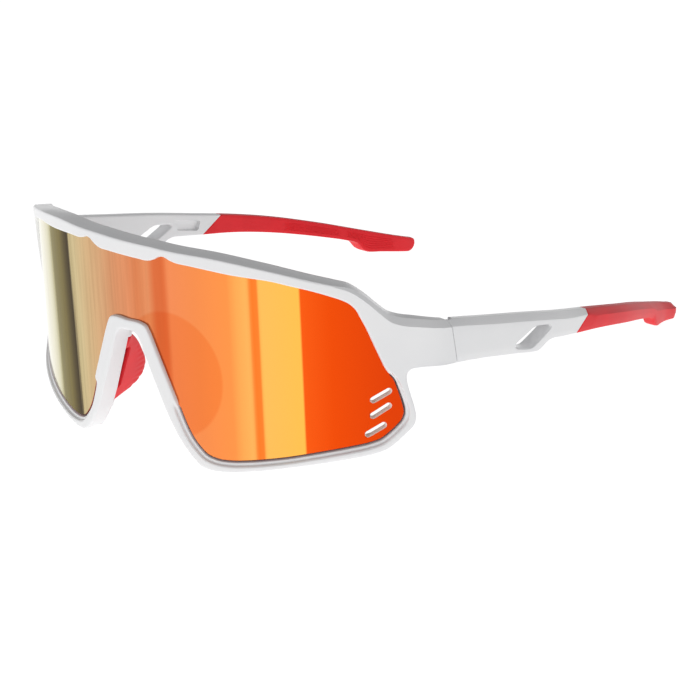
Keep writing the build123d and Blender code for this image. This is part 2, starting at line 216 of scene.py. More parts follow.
RIM = [  # visible shield edge (q, t), outer edge (q, t), zone: 0 lip over the shield, 1 open edge
    (0, 8.0, 0, 12.35, 0), (5, 8.0, 5, 12.35, 0), (9.0, 8.1, 9.0, 12.3, 0), (10.6, 8.7, 10.6, 12.25, 0),
    (12.3, 9.7, 12.3, 12.15, 0), (13.8, 9.9, 13.8, 12.05, 0), (15.2, 9.3, 15.2, 12.0, 0), (17, 8.75, 17, 11.9, 0),
    (21, 8.4, 21, 11.75, 0), (26.7, 7.75, 26.7, 11.4, 0), (32.2, 7.0, 32.2, 10.7, 0), (37.6, 6.4, 37.6, 9.75, 0),
    (42.8, 5.7, 42.9, 8.65, 0), (48, 4.4, 48.3, 7.3, 0), (53.1, 3.0, 54.0, 5.75, 0), (58.2, 1.2, 60.0, 4.1, 0),
    (60.8, 0.1, 63.4, 3.0, 0), (62.6, -0.9, 66.0, 1.3, 0), (64.0, -2.2, 68.6, -0.9, 0), (64.9, -3.5, 71.2, -3.4, 0),
    (65.5, -4.8, 73.9, -5.7, 0), (66.1, -6.1, 77.3, -7.2, 0), (66.7, -7.4, 81.5, -8.15, 0), (67.3, -8.8, 86.8, -9.35, 0),
    (67.8, -10.1, seam_q(-10.2), -10.2, 0),
    (69.5, -14.5, seam_q(-16.5), -16.5, 0),
    (70.6, -17.3, seam_q(-22.5), -22.5, 0),
    (71.2, -18.8, 87.0, -21.85, 0), (71.6, -19.8, 82.0, -21.35, 0), (72.0, -20.6, 79.3, -21.5, 0),
    (72.5, -21.6, 78.05, -22.4, 0.15), (73.3, -22.7, 77.75, -24.1, 1), (74.2, -23.9, 77.95, -25.8, 1),
    (75.2, -26.8, 78.4, -27.9, 1), (76.1, -29.8, 79.05, -30.4, 1),
    (76.7, -32.4, 79.65, -32.9, 1), (76.8, -34.2, 80.0, -35.4, 1), (76.1, -36.0, 79.3, -37.8, 1), (74.5, -37.6, 77.4, -39.65, 1),
    (72.6, -39.1, 75.0, -41.6, 1), (70.3, -40.6, 71.9, -43.6, 1), (67.3, -41.4, 68.2, -44.6, 1), (62, -42.15, 62.2, -45.35, 1),
    (56.5, -42.9, 56.5, -46.05, 1), (51.2, -43.7, 51.2, -46.75, 1), (45.8, -44.6, 45.8, -47.5, 1), (40.4, -45.4, 40.4, -48.35, 1),
    (34.9, -46.15, 34.9, -49.15, 1), (29.5, -46.65, 29.0, -49.85, 1), (26, -46.5, 24.8, -49.95, 1), (23, -45.5, 21.4, -49.1, 1),
    (20.8, -43.4, 19.0, -46.9, 1), (18.2, -39.5, 15.0, -41.5, 1), (16.5, -35.6, 12.7, -37.1, 1), (15.6, -33.2, 11.55, -34.7, 1),
    (14.9, -31.3, 10.7, -32.6, 0.1), (13.2, -27.0, 9.1, -28.6, 0), (11.6, -23.0, 7.5, -24.6, 0), (10, -19.0, 6.0, -20.7, 0),
    (8.4, -15.0, 4.9, -17.6, 0), (7.2, -12.3, 4.1, -15.5, 0), (6.2, -10.8, 3.3, -14.3, 0), (4.6, -10.3, 2.3, -13.65, 0),
    (0, -10.3, 0, -13.5, 0)]
CORNERS = (24, 26)
SEAM_I = (24, 26)

rim, rim_src = hermite(RIM, 1.1, corners=CORNERS)


def depth_at(q):
    return np.interp(abs(q), [0, Q0 - 3, 84, 100], [RIM_D, RIM_D, 4.6, 4.5])


def rim_profile(v, o, z, bev):
    """Closed section as rows (e, d): e outwards from the visible shield edge."""
    W = float(np.hypot(*(o - v)))
    k = min(1.0, W / 3.3)
    D = float(depth_at(np.interp(0.7, [0, 1], [v[0], o[0]])))
    Do = float(depth_at(o[0]))
    mix = lambda a, b: (a[0] * (1 - z) + b[0] * z, a[1] * (1 - z) + b[1] * z)
    P = []
    P.append(mix((0.02, 1.26), (0.44, 2.9)))
    P.append(mix((0.0, 0.95), (0.43, 1.8)))
    P.append(mix((0.06, 0.45), (0.46, 1.25)))
    P.append(mix((0.22, 0.14), (0.58, 1.0)))
    P.append(mix((0.5 * k, 0.02), (0.8, 0.93)))
    P.append(mix((0.8 * k, 0.0), (1.12, 0.9)))
    P.append(mix((1.0 * k, 0.0), (1.26, 0.72)))
    P.append(mix((1.2 * k, 0.0), (1.36, 0.25)))
    P.append(mix((1.4 * k, 0.0), (1.62, 0.03)))
    b = min(bev, 0.36 * W)
    e0 = P[-1][0]
    e1 = W - b
    for f in (0.12, 0.25, 0.38, 0.5, 0.62, 0.75, 0.88, 1.0):
        P.append((e0 + (e1 - e0) * f, 0.0))
    P.append((W - b * 0.42, 0.09 * b / 1.0 + 0.0))
    P.append((W - b * 0.12, 0.33 * b))
    P.append((W, 0.8 * b))
    P.append((W, Do * 0.5))
    P.append((W, Do - 0.55 * min(b, .8)))
    P.append((W - 0.14 * b, Do - 0.16))
    P.append((W - 0.5 * b, Do))
    i1 = mix((0.5, 0), (-0.4, 0))[0]
    for f in (0.15, 0.3, 0.45, 0.6, 0.75, 0.9):
        e = (W - 0.5 * b) * (1 - f) + i1 * f
        P.append((e, Do * (1 - f) + D * f))
    P.append(mix((0.25, D), (-0.6, D)))
    P.append(mix((0.0, D - 0.35), (-0.85, D - 0.35)))
    P.append(mix((-0.02, D - 0.9), (-0.88, D - 0.9)))
    P.append(mix((-0.02, 3.34), (-0.88, 3.34)))
    P.append(mix((1.1 * k, 3.32), (0.44, 3.32)))
    P.append(mix((1.1 * k, 1.26), (0.445, 3.1)))
    return P


def ring_loops():
    loops = []
    for s, r in zip(rim_src, rim):
        v, o = r[0:2], r[2:4]
        z = float(np.clip(r[4], 0, 1))
        bev = float(np.interp(s, [0, 14, 17, 22.4, 23.2, 27.0, 28.5], [.62, .62, .75, .75, .28, .28, 1.0]))
        W = float(np.hypot(*(o - v)))
        u = (o - v) / W
        P = np.array(rim_profile(v, o, z, bev))
        qt = v[None] + u[None] * P[:, 0:1]
        loops.append((qt[:, 0], qt[:, 1], P[:, 1]))
    return loops


half = ring_loops()
loops = [wall(q, t, d) for q, t, d in half] + [wall(-q, t, d) for q, t, d in half[-2:0:-1]]
verts, faces = loops_to_mesh(loops, closed=True)


def cyl_part(r, p, q, seg=32, bevel=0.2):
    """Round bar between two points (design frame, mm), with small bevels."""
    p, q = np.array(p, float), np.array(q, float)
    L = np.linalg.norm(q - p); w = (q - p) / L
    h = np.array([1, 0, 0]) if abs(w[0]) < .9 else np.array([0, 1, 0])
    u = np.cross(w, h); u /= np.linalg.norm(u); v = np.cross(w, u)
    rings = []
    for s, rr in ((0, r - bevel), (bevel * .3, r - bevel * .3), (bevel, r), (L - bevel, r), (L - bevel * .3, r - bevel * .3), (L, r - bevel)):
        a = np.linspace(0, 2 * math.pi, seg, endpoint=False)
        rings.append(p + w * s + rr * (np.cos(a)[:, None] * u + np.sin(a)[:, None] * v))
    return loops_to_mesh([row(x) for x in rings], closed=False, caps=True)


def join(parts):
    V, F, n = [], [], 0
    for v, f in parts:
        V.extend(list(v)); F.extend([tuple(i + n for i in x) for x in f]); n += len(v)
    return V, F


def boolean(ob, cutter_parts, solver="EXACT"):
    for v, f in cutter_parts:
        c = mesh_object("cutter", v, f, smooth=False)
        m = ob.modifiers.new("cut", "BOOLEAN")
        m.operation = "DIFFERENCE"; m.object = c; m.solver = solver
        dg = bpy.context.evaluated_depsgraph_get()
        me = bpy.data.meshes.new_from_object(ob.evaluated_get(dg))
        ob.modifiers.clear()
        old = ob.data
        ob.data = me
        bpy.data.meshes.remove(old)
        bpy.data.objects.remove(c)


KT, KMT, KMB, KB = -9.1, -11.3, -17.1, -19.3
sel = (rim_src >= 13) & (rim_src <= 24)
tq, tt_ = rim[sel, 2], rim[sel, 3]


def chamfer_cutter(sx):
    ls = []
    qs = np.arange(57.0, 97.1, 1.0)
    for qv in qs:
        th_ = float(np.interp(qv, tq, tt_)) if qv <= tq[-1] else float(tt_[-1] - (qv - tq[-1]) * .13)
        f = float(np.interp(qv, [57, 63, 74], [0.0, .35, 1.0]))
        dr, wd = 0.2 + 1.55 * f, 0.1 + 1.65 * f
        a = (th_ - dr * 1.5, -wd * .5); b_ = (th_ + dr * .5, wd * 1.5); c_ = (th_ + 3.0, -3.0)
        P = np.array([a, b_, c_])
        ls.append(wall(np.full(3, sx * qv), P[:, 0], P[:, 1]))
    return loops_to_mesh(ls, closed=False, caps=True)


front = mesh_object("front_frame_shell", verts, faces, smooth=False)
boolean(front, [chamfer_cutter(sx) for sx in (1, -1)])
boolean(front, [cyl_part(KR + .3, (sx * HX, HY, KMB - .06), (sx * HX, HY, KMT + .06), 48, .05) for sx in (1, -1)])

extra = []
for sx in (1, -1):
    extra.append(cyl_part(KR, (sx * HX, HY, KMT + .06), (sx * HX, HY, KT), 40, .18))
    extra.append(cyl_part(KR, (sx * HX, HY, KB), (sx * HX, HY, KMB - .06), 40, .18))
P_TOP = np.array([7.1, 6.35, -18.6]); P_BOT = np.array([16.87, 7.67, -41.1])
AX = (P_BOT - P_TOP) / np.linalg.norm(P_BOT - P_TOP)
bk = np.array([math.sin(math.radians(3)), math.cos(math.radians(3)), 0]); bk = bk - AX * (bk @ AX); bk /= np.linalg.norm(bk)
NR = np.cross(AX, bk)


def pad_pt(s, d, n, sx=1):
    s, d, n = np.broadcast_arrays(np.asarray(s, float), np.asarray(d, float), np.asarray(n, float))
    p = tilt(P_TOP + AX * s[..., None] + bk * d[..., None] + NR * n[..., None])
    return p * np.array([sx, 1, 1])


for sx in (1, -1):
    for a, b in ((-2.0, 0.4), (24.3, 26.4)):
        extra.append(cyl_part(1.12, pad_pt(a, 0, 0, sx), pad_pt(b, 0, 0, sx), 24, .25))
        # web from the lug to the nose wall
        ls = []
        for s in (a + .1, a + .3, b - .3, b - .1):
            w = 0.9 if s in (a + .3, b - .3) else 0.78
            ls.append(row(pad_pt([s] * 4, [0.2, 0.2, -2.3, -2.3], [-w, w, w, -w], sx)))
        extra.append(loops_to_mesh(ls, closed=False, caps=True))
me2 = mesh_object("extra", *join(extra), smooth=False)
bm = bmesh.new(); bm.from_mesh(front.data); bm.from_mesh(me2.data); bm.to_mesh(front.data); bm.free()
bpy.data.objects.remove(me2)
shade(front, 30)
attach(front, "front"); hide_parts("frame_front")

# ------------------------------------------------------------------ shield lens
lens_rows = [r for r in rim]
lens_edge = []
for s, r in zip(rim_src, rim):
    v, o = r[0:2], r[2:4]
    u = (o - v) / np.hypot(*(o - v))
    z = float(np.clip(r[4], 0, 1))
    W = float(np.hypot(*(o - v)))
    off = (1 - z) * 0.95 * min(1.0, W / 3.3)
    lens_edge.append(v + u * off)
lens_edge = np.array(lens_edge)
outline = np.vstack([lens_edge, (lens_edge[-2:0:-1]) * np.array([-1, 1])])
# drop points that crowd together
keep = [0]
for i in range(1, len(outline)):
    if np.hypot(*(outline[i] - outline[keep[-1]])) > 0.35:
        keep.append(i)
outline = outline[keep]
SLOTS = [((68.3, -29.4), (73.1, -27.1)), ((68.1, -33.9), (72.9, -31.3)), ((66.6, -39.1), (71.4, -36.7))]
holes = []
for sx in (1, -1):
    for (a0, t0), (a1, t1) in SLOTS:
        p, q = np.array([a0, t0]), np.array([a1, t1])
        L = np.linalg.norm(q - p); w = (q - p) / L; nn = np.array([-w[1], w[0]])
        r = 0.80
        pts = []
        for k in range(13):
            an = math.pi / 2 + math.pi * k / 12
            pts.append(p + w * (r - .45) + r * (math.cos(an) * w + math.sin(an) * nn))
        for k in range(13):
            an = -math.pi / 2 + math.pi * k / 12
            pts.append(q - w * (r - .45) + r * (math.cos(an) * w + math.sin(an) * nn))
        holes.append(np.array(pts) * np.array([sx, 1]))


def flat_region(outer, hole_list):
    bm = bmesh.new()
    edges = []
    for lp in [outer] + hole_list:
        vs = [bm.verts.new((p[0], p[1], 0)) for p in lp]
        for i in range(len(vs)):
            edges.append(bm.edges.new((vs[i], vs[(i + 1) % len(vs)])))
    bmesh.ops.triangle_fill(bm, use_beauty=True, use_dissolve=False, edges=edges, normal=(0, 0, 1))
    return bm


bm = flat_region(outline, holes)
qmax = np.abs(outline[:, 0]).max()
for qq in np.arange(-78, 78.1, 1.3):
    geom = list(bm.verts) + list(bm.edges) + list(bm.faces)
    bmesh.ops.bisect_plane(bm, geom=geom, dist=1e-5, plane_co=(qq, 0, 0), plane_no=(1, 0, 0))
for tt in np.arange(-46, 10, 7):
    geom = list(bm.verts) + list(bm.edges) + list(bm.faces)
    bmesh.ops.bisect_plane(bm, geom=geom, dist=1e-5, plane_co=(0, tt, 0), plane_no=(0, 1, 0))
bmesh.ops.recalc_face_normals(bm, faces=bm.faces)
if sum(f.normal.z for f in bm.faces) < 0:
    bmesh.ops.reverse_faces(bm, faces=bm.faces)
bm.verts.ensure_lookup_table(); bm.verts.index_update()
nv = len(bm.verts)
co = np.array([v.co[:] for v in bm.verts])
border = set()
bedges = [(e.verts[0].index, e.verts[1].index) for e in bm.edges if e.is_boundary]
ff = [[v.index for v in f.verts] for f in bm.faces]
bverts = sorted({i for e in bedges for i in e})
# inward direction on the boundary, for a fine chamfer all round
bdir = {i: np.zeros(2) for i in bverts}
loc_faces = {}
for f in bm.faces:
    for e in f.edges:
        if e.is_boundary:
            a, b = e.verts[0].index, e.verts[1].index
            m = np.array(f.calc_center_median()[:2])
            p, q = co[a, :2], co[b, :2]
            t_ = (q - p) / (np.linalg.norm(q - p) + 1e-12)
            n_ = np.array([-t_[1], t_[0]])
            if (m - p) @ n_ < 0:
                n_ = -n_
            bdir[a] += n_; bdir[b] += n_
bm.free()
CHF = 0.16
V = []
fr = co.copy(); bkp = co.copy()
for i in bverts:
    d = bdir[i] / (np.linalg.norm(bdir[i]) + 1e-12)
    fr[i, :2] += d * CHF; bkp[i, :2] += d * CHF
vi = {i: k for k, i in enumerate(bverts)}
V_front = wall(fr[:, 0], fr[:, 1], np.full(nv, LIP))
V_back = wall(bkp[:, 0], bkp[:, 1], np.full(nv, LIP + LENS_T))
V_e1 = wall(co[bverts, 0], co[bverts, 1], np.full(len(bverts), LIP + CHF))
V_e2 = wall(co[bverts, 0], co[bverts, 1], np.full(len(bverts), LIP + LENS_T - CHF))
V = np.vstack([V_front, V_back, V_e1, V_e2])
F = [tuple(f) for f in ff] + [tuple(nv + i for i in f[::-1]) for f in ff]
mat_idx = [0] * len(ff) + [1] * len(ff)
o1, o2 = 2 * nv, 2 * nv + len(bverts)


def in_slot(p):
    for sx in (1, -1):
        for (a0, t0), (a1, t1) in SLOTS:
            u0, u1 = np.array([a0 * sx, t0]), np.array([a1 * sx, t1])
            w = u1 - u0
            k = float(np.clip((p - u0) @ w / (w @ w), 0, 1))
            if np.linalg.norm(p - u0 - w * k) < 1.6:
                return True
    return False


# edge faces: slot walls take material 3, painted pale as a highlight; other cut edges take material 2, painted dark red
# for refraction
for a, b in bedges:
    A, B = vi[a], vi[b]
    em = 3 if in_slot(co[a, :2]) and in_slot(co[b, :2]) else 2
    F.append((a, b, o1 + B, o1 + A)); mat_idx.append(em)
    F.append((o1 + A, o1 + B, o2 + B, o2 + A)); mat_idx.append(em)
    F.append((o2 + A, o2 + B, nv + b, nv + a)); mat_idx.append(em)
me = bpy.data.meshes.new("shield_mirror_lens")
me.from_pydata([tuple(v) for v in V], [], F)
me.update()
at = me.attributes.new("arc", "FLOAT", "POINT")
tv = me.attributes.new("high", "FLOAT", "POINT")
arc = np.concatenate([fr[:, 0], bkp[:, 0], co[bverts, 0], co[bverts, 0]])
hgt = np.concatenate([fr[:, 1], bkp[:, 1], co[bverts, 1], co[bverts, 1]])
at.data.foreach_set("value", arc.astype(np.float32)); tv.data.foreach_set("value", hgt.astype(np.float32))
me.polygons.foreach_set("material_index", mat_idx)
me.polygons.foreach_set("use_smooth", [True] * len(me.polygons))
bm = bmesh.new(); bm.from_mesh(me); bmesh.ops.recalc_face_normals(bm, faces=bm.faces); bm.to_mesh(me); bm.free()
me.set_sharp_from_angle(angle=math.radians(25))
# exact normals of the cylinder on both faces
nrm = []
for p in me.polygons:
    for li in p.loop_indices:
        vv = me.loops[li].vertex_index
        if p.material_index in (0, 1):
            ph = arc[vv] / LENS_R
            n_ = tilt(np.array([math.sin(ph), -math.cos(ph), 0.0])) * (1 if p.material_index == 0 else -1)
            nrm.append(tuple(n_))
        else:
            nrm.append(tuple(p.normal))
me.normals_split_custom_set(nrm)
lens = link(bpy.data.objects.new("shield_mirror_lens", me))
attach(lens, "front"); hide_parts("shield_lens")

# ------------------------------------------------------------------ temples and sleeves
IN = np.array([(68.2, 44), (68.3, 60), (68.5, 74), (68.6, 84), (68.5, 94), (67.9, 104), (66.5, 120),
               (64.4, 134), (59.2, 152), (55.0, 165), (52.6, 172), (50.2, 180), (48.6, 190)])
OUT = np.array([(72.55, 44), (72.95, 60), (73.2, 74), (73.25, 84), (73.1, 94), (72.5, 104), (71.0, 120),
                (68.8, 134), (63.7, 152), (59.4, 165), (57.0, 172), (54.5, 180), (52.9, 190)])
TOP = np.array([(44, -6.85), (50.5, -8.25), (65.9, -11.8), (83.5, -15.8), (104, -20.8), (120.3, -24.7),
                (133.5, -28.2), (152.5, -34.0), (166, -38.6), (177.8, -42.6), (186.3, -45.4)])
LOW = np.array([(44, -19.3), (49.4, -20.1), (59.3, -21.7), (68.4, -23.5), (78, -25.5), (84.5, -26.95), (86.2, -27.15), (87.6, -26.8),
                (90.6, -25.75), (92.2, -25.5), (98, -26.4), (107, -28.0), (115, -29.4), (121, -30.6), (134.3, -33.7), (153.9, -39.1), (163.4, -42.2),
                (165.4, -43.1), (168.0, -46.1), (169.8, -47.0), (174, -47.7), (185.0, -49.9)])


def pchip(x, xp, yp):
    """Smooth interpolation without overshoot."""
    xp, yp = np.asarray(xp, float), np.asarray(yp, float)
    h = np.diff(xp); dl = np.diff(yp) / h
    m = np.zeros(len(xp)); m[0], m[-1] = dl[0], dl[-1]
    for i in range(1, len(xp) - 1):
        if dl[i - 1] * dl[i] > 0:
            w1, w2 = 2 * h[i] + h[i - 1], h[i] + 2 * h[i - 1]
            m[i] = (w1 + w2) / (w1 / dl[i - 1] + w2 / dl[i])
    x = np.asarray(x, float)
    i = np.clip(np.searchsorted(xp, x) - 1, 0, len(h) - 1)
    s = (x - xp[i]) / h[i]
    lin = (s < 0) | (s > 1)
    r = ((2*s**3-3*s**2+1)*yp[i] + (s**3-2*s**2+s)*h[i]*m[i] + (-2*s**3+3*s**2)*yp[i+1] + (s**3-s**2)*h[i]*m[i+1])
    return np.where(lin, yp[i] + dl[i] * (x - xp[i]), r)


x_in = lambda y: pchip(y, IN[:, 1], IN[:, 0])
x_out = lambda y: pchip(y, OUT[:, 1], OUT[:, 0])
z_top = lambda y: pchip(y, TOP[:, 0], TOP[:, 1])
z_low = lambda y: pchip(y, LOW[:, 0], LOW[:, 1])


def slant(s):
    """Half the fore-and-aft lean of the section at station s."""
    return np.interp(s, [48.6, 56, 64, 96, 109.35, 124, 134], [-1.42, -0.9, 0, 0, 4.05, 1.2, 0])


def arm_section(s, kind, edge=0.0, shrink=1.0):
    """Closed section of the arm at station s; edge draws the section in a little at a joint."""
    dl = float(slant(s))
    yt, yb = s + dl, s - dl
    zt, zb = float(z_top(min(yt, 186.3))), float(z_low(min(yb, 185.0)))
    if s > 184.9:      # rounded end of the tip
        zt = float(z_top(min(s, 186.3))); zb = -49.9
        if s > 186.3:
            f = (s - 186.3) / 1.55
            zt = -45.4 - 1.5 * (1 - math.sqrt(max(0, 1 - f * f)))
        f = (s - 184.9) / 2.95
        zb = -49.9 + 2.25 * (1 - math.sqrt(max(0, 1 - min(f, 1) ** 2)))
    H = math.hypot(yt - yb, zt - zb)
    up = np.array([yt - yb, zt - zb]) / H
    base = np.array([yb, zb])
    T = float(x_out(s) - x_in(s))
    if kind == "white":
        c, g, r = 1.95, 1.75, 0.42       # top outer chamfer: drop and width; other edges
        prof = [(r, T), (H * .25, T + .0), (H * .45, T + .0), (H * .65, T), (H - c * 1.08, T), (H - c * .93, T - .05), (H - .16, T - g + .07), (H - .02, T - g - .12),
                (H, T - g - .4), (H, r + .2), (H - .12, .14), (H - r, 0)]
        inner = np.linspace(H - r - .3, r + .3, 24)
        prof += [(h, 0.0) for h in inner]
        prof += [(r, 0), (.12, .12), (0, r), (0, T * .5), (0, T - r), (.12, T - .12)]
    else:
        k = float(np.interp(s, [109, 116, 150, 188], [0, 1, 1, 1]))
        c = min(1.95, H * .38)
        g = min(1.75, T * .45)
        r = min(0.42 + 0.5 * k, H * .3, T * .3)
        bul = 0.22 * k
        prof = [(r, T + bul * .3), (H * .3, T + bul), (H * .5, T + bul * 1.15), (H * .7, T + bul), (H - c * 1.12, T + bul * .6), (H - c * .86, T - .10 + bul * .3), (H - .26, T - g + .12), (H - .05, T - g - .15),
                (H, T - g - .5), (H, r + .2), (H - .12, .16), (H - r, 0)]
        inner = np.linspace(H - r - .25, r + .25, 49)
        rib = float(np.interp(s, [138.2, 140, 158, 159, 161.2, 162, 177.5, 179.5], [0, 1, 1, 0, 0, 1, 1, 0]))
        gg = []
        for i, h in enumerate(inner):
            gg.append((h, (0.13 if (i % 8) in (3, 4, 5) else 0.0) * rib))
        prof += gg
        prof += [(r, 0), (.16, .16), (0, r), (0, T * .5), (0, T - r), (.16, T - .16 + bul * .2)]
    P = np.array(prof, float)
    cx, ch = T * .5, H * .5
    P[:, 0] = ch + (P[:, 0] - ch) * (1 - edge / max(H * .5, .1)) * 1.0
    P[:, 1] = cx + (P[:, 1] - cx) * (1 - edge / max(T * .5, .1))
    if shrink < 1:
        P[:, 0] = ch + (P[:, 0] - ch) * shrink
        P[:, 1] = cx + (P[:, 1] - cx) * shrink
    yz = base[None] + up[None] * P[:, 0:1]
    xi = x_in(np.clip(yz[:, 0], 44, 190))
    return np.stack([xi + P[:, 1], yz[:, 0], yz[:, 1]], -1)


def arm_mesh(kind, sx):
    if kind == "white":
        st = [48.50, 48.60] + list(np.arange(49.2, 109.1, 0.9)) + [109.18, 109.30]
        ed = {0: .10, 1: .0, len(st) - 2: .0, len(st) - 1: .07}
    else:
        st = [109.34, 109.46] + list(np.arange(110.2, 184.6, 0.7)) + [185.2, 185.8, 186.3, 186.7, 187.05, 187.35, 187.6, 187.75]
        ed = {0: .07, 1: .0}
    ls = []
    for i, s in enumerate(st):
        sh = 1.0
        if kind == "red" and s > 185.1:
            f = (s - 185.1) / 2.85
            sh = 1.0
            T2 = math.sqrt(max(0.02, 1 - f * f))
            sec = arm_section(s, kind, 0)
            cxm = sec[:, 0].mean()
            sec[:, 0] = cxm + (sec[:, 0] - cxm) * (0.62 + .38 * T2)
            ls.append(sec)
            continue
        ls.append(arm_section(s, kind, ed.get(i, 0.0)))
    ls = [l * np.array([sx, 1, 1]) for l in ls]
    return loops_to_mesh([row(l) for l in ls], closed=False, caps=True)


WIN = np.array([(76.9, -22.75), (77.25, -23.35), (78.2, -23.85), (80.8, -24.6), (83.2, -25.2), (84.2, -25.25), (85.2, -24.95), (88.6, -23.65),
                (91.8, -22.45), (92.35, -22.0), (92.15, -21.5), (91.4, -21.2), (89.0, -20.7), (86.7, -20.25), (85.4, -20.15), (84.2, -20.4), (80.8, -21.55), (77.6, -22.45)])


WIN = WIN + np.stack([np.interp(WIN[:, 0], [77, 84, 86, 92], [-1.5, -1.2, -.6, -.5]), np.full(len(WIN), .3)], -1)


def grow(poly, d):
    n = len(poly); out = []
    area = 0.5 * sum(poly[i][0] * poly[(i + 1) % n][1] - poly[(i + 1) % n][0] * poly[i][1] for i in range(n))
    for i in range(n):
        t_ = poly[(i + 1) % n] - poly[i - 1]
        t_ = t_ / np.linalg.norm(t_)
        nn = np.array([t_[1], -t_[0]]) * (1 if area > 0 else -1)
        out.append(poly[i] + nn * d)
    return np.array(out)


def prism(poly, levels, sx):
    ls = []
    for x, g in levels:
        pg = grow(poly, g)
        ls.append(row(np.stack([np.full(len(pg), sx * x), pg[:, 0], pg[:, 1]], -1)))
    return loops_to_mesh(ls, closed=False, caps=True)


for side, sx in (("left", 1), ("right", -1)):
    v, f = arm_mesh("white", sx)
    arm = mesh_object("temple_arm_" + side, v, f, smooth=False)
    cuts = [prism(WIN, [(66, .55), (68.55, .5), (68.85, .1), (69.1, 0), (72.5, 0), (72.85, .14), (73.25, .5), (76, .6)], sx)]
    rec = np.array([(94.2, -20.45), (103.6, -22.75), (104.1, -23.2), (103.4, -25.3), (102.8, -25.5), (95.2, -23.75), (94.6, -23.3), (93.8, -20.9)])
    cuts.append(prism(rec, [(66, .25), (68.4, .2), (68.75, 0), (69.0, -.1)], sx))
    cuts.append(cyl_part(KR + .3, (sx * HX, HY, KMT - .06), (sx * HX, HY, 0), 48, .02))
    cuts.append(cyl_part(KR + .3, (sx * HX, HY, -30), (sx * HX, HY, KMB + .06), 48, .02))
    boolean(arm, cuts)
    kn = mesh_object("kn", *cyl_part(KR, (sx * HX, HY, KMB + .06), (sx * HX, HY, KMT - .06), 40, .15), smooth=False)
    bm = bmesh.new(); bm.from_mesh(arm.data); bm.from_mesh(kn.data); bm.to_mesh(arm.data); bm.free()
    bpy.data.objects.remove(kn)
    shade(arm, 28)
    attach(arm, "arm_" + side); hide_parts("temple_" + side)
    v, f = arm_mesh("red", sx)
    slv = mesh_object("rubber_sleeve_" + side, v, f, angle=40)
    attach(slv, "arm_" + side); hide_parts("temple_sleeve_" + side)

# ------------------------------------------------------------------ nose pads
PAD = np.array([(0.45, 1.2), (1.0, 2.2), (2.0, 3.3), (4.7, 5.8), (9.2, 9.0), (13.0, 11.4), (15.6, 12.4), (18.2, 12.5), (20.9, 11.2), (22.7, 8.9), (23.6, 6.0), (24.0, 3.2), (24.05, 1.9)])
for side, sx in (("left", 1), ("right", -1)):
    ls = []
    st = np.concatenate([np.arange(0.45, 23.0, 0.5), np.arange(23.0, 24.05, 0.18)])
    for s in st:
        f = float(pchip(s, PAD[:, 0], PAD[:, 1])) if s < 24.04 else 1.9
        lo = 1.35 if 4.7 < s < 19.5 else 0.2
        lo = float(np.interp(s, [0.4, 4.2, 5.2, 19.0, 20.0, 24.1], [0.3, 0.3, 1.45, 1.45, 0.3, 0.3]))
        f = max(f, lo + .5)
        tick = 1.0 if (4.5 < s < 22.5 and (s % 2.0) < 0.49) else 0.0
        f *= .885
        dd, nn = [], []
        N = 9
        for k in range(N):       # one face
            u = k / (N - 1)
            d = lo + .35 + (f - lo - .7) * u
            th = np.interp(u, [0, .25, .75, 1], [.95, .9, .7, .55]) - (.16 * tick if u > .74 else 0)
            cup = 0.9 * ((d / 12.5) ** 2)
            dd.append(d); nn.append(th + cup)
        dd.append(f - .12); nn.append(.3 + 0.9 * (f / 12.5) ** 2)
        dd.append(f); nn.append(0.0 + 0.9 * (f / 12.5) ** 2)
        dd.append(f - .12); nn.append(-.3 + 0.9 * (f / 12.5) ** 2)
        for k in range(N):
            u = 1 - k / (N - 1)
            d = lo + .35 + (f - lo - .7) * u
            th = np.interp(u, [0, .25, .75, 1], [.95, .9, .7, .55]) - (.16 * tick if u > .74 else 0)
            cup = 0.9 * ((d / 12.5) ** 2)
            dd.append(d); nn.append(-th + cup)
        dd.append(lo + .08); nn.append(-.6)
        dd.append(lo); nn.append(0.0)
        dd.append(lo + .08); nn.append(.6)
        ls.append(row(pad_pt(np.full(len(dd), s), np.array(dd), -np.array(nn), sx)))
    parts = [loops_to_mesh(ls, closed=False, caps=True)]
    for a, b in ((0.7, 4.6), (19.6, 24.0)):
        parts.append(cyl_part(1.18, pad_pt(a, 0, 0, sx), pad_pt(b, 0, 0, sx), 28, .3))
    pad = mesh_object("nose_pad_wing_" + side, *join(parts), angle=45)
    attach(pad, "pad_" + side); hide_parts("nose_pad_" + side)

# ------------------------------------------------------------------ materials
def lin(r, g, b):
    f = lambda c: (c / 255 / 12.92) if c / 255 <= .04045 else ((c / 255 + .055) / 1.055) ** 2.4
    return (f(r), f(g), f(b), 1)


def new_mat(name):
    m = bpy.data.materials.new(name)
    m.use_nodes = True
    nt = m.node_tree
    b = nt.nodes["Principled BSDF"]
    return m, nt, b


def N(nt, kind, **kw):
    n = nt.nodes.new(kind)
    for k, v in kw.items():
        setattr(n, k, v)
    return n


def fine_bump(nt, b, scale, strength, dist, detail=3.0, second=None):
    tc = N(nt, "ShaderNodeTexCoord")
    nz = N(nt, "ShaderNodeTexNoise")
    nz.inputs["Scale"].default_value = scale; nz.inputs["Detail"].default_value = detail
    nt.links.new(tc.outputs["Object"], nz.inputs["Vector"])
    bp = N(nt, "ShaderNodeBump")
    bp.inputs["Strength"].default_value = strength; bp.inputs["Distance"].default_value = dist
    nt.links.new(nz.outputs["Fac"], bp.inputs["Height"])
    nt.links.new(bp.outputs["Normal"], b.inputs["Normal"])
    return tc, nz


